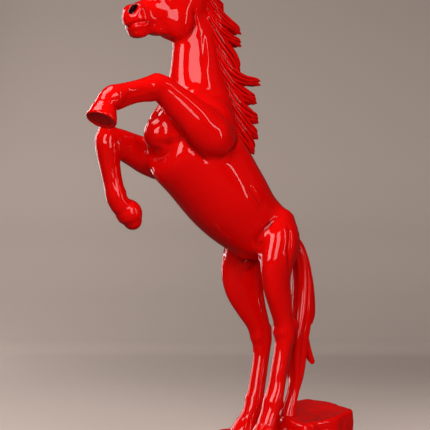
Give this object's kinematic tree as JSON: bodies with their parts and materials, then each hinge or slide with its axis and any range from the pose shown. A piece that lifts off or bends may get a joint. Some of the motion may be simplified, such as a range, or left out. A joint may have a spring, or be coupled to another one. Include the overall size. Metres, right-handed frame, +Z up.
{
  "type": "rearing horse statue",
  "caption": "Cast horse statue rearing on its hind legs and tail on a rock base, with flying mane, in glossy red enamel.",
  "frame": {"origin": "middle of the stand's underside, on the surface that the statue stands on", "axes": "+Z up from the surface, the horse faces -X, its left side is -Y and its right side is +Y"},
  "size_m": [0.338, 0.1008, 0.5065],
  "materials": {
    "red_enamel": "high gloss",
    "steel": "zinc plated",
    "ballast_iron": "as cast",
    "closing_plate": "matte",
    "foot_pad": "matte"
  },
  "bodies": {
    "root": {"body_left_shell": "red_enamel", "body_right_shell": "red_enamel", "left_hind_leg": "red_enamel", "right_hind_leg": "red_enamel", "left_foreleg": "red_enamel", "right_foreleg": "red_enamel", "head": "red_enamel", "left_ear": "red_enamel", "right_ear": "red_enamel", "mane": "red_enamel", "forelock": "red_enamel", "tail_main": "red_enamel", "tail_upper_lock": "red_enamel", "tail_lower_lock": "red_enamel", "rock_base": "red_enamel", "hip_crossbar": "steel", "spine_rod": "steel", "left_foreleg_dowel": "steel", "right_foreleg_dowel": "steel", "left_hind_rod": "steel", "left_hind_rod_washer": "steel", "left_hind_rod_nut": "steel", "right_hind_rod": "steel", "right_hind_rod_washer": "steel", "right_hind_rod_nut": "steel", "tail_rod": "steel", "tail_rod_washer": "steel", "tail_rod_nut": "steel", "base_screw_1": "steel", "base_screw_2": "steel", "base_screw_3": "steel", "base_screw_4": "steel", "base_screw_5": "steel", "base_screw_6": "steel", "ballast_block": "ballast_iron", "base_plate": "closing_plate", "anti_slip_pad": "foot_pad"}
  },
  "joints": []
}
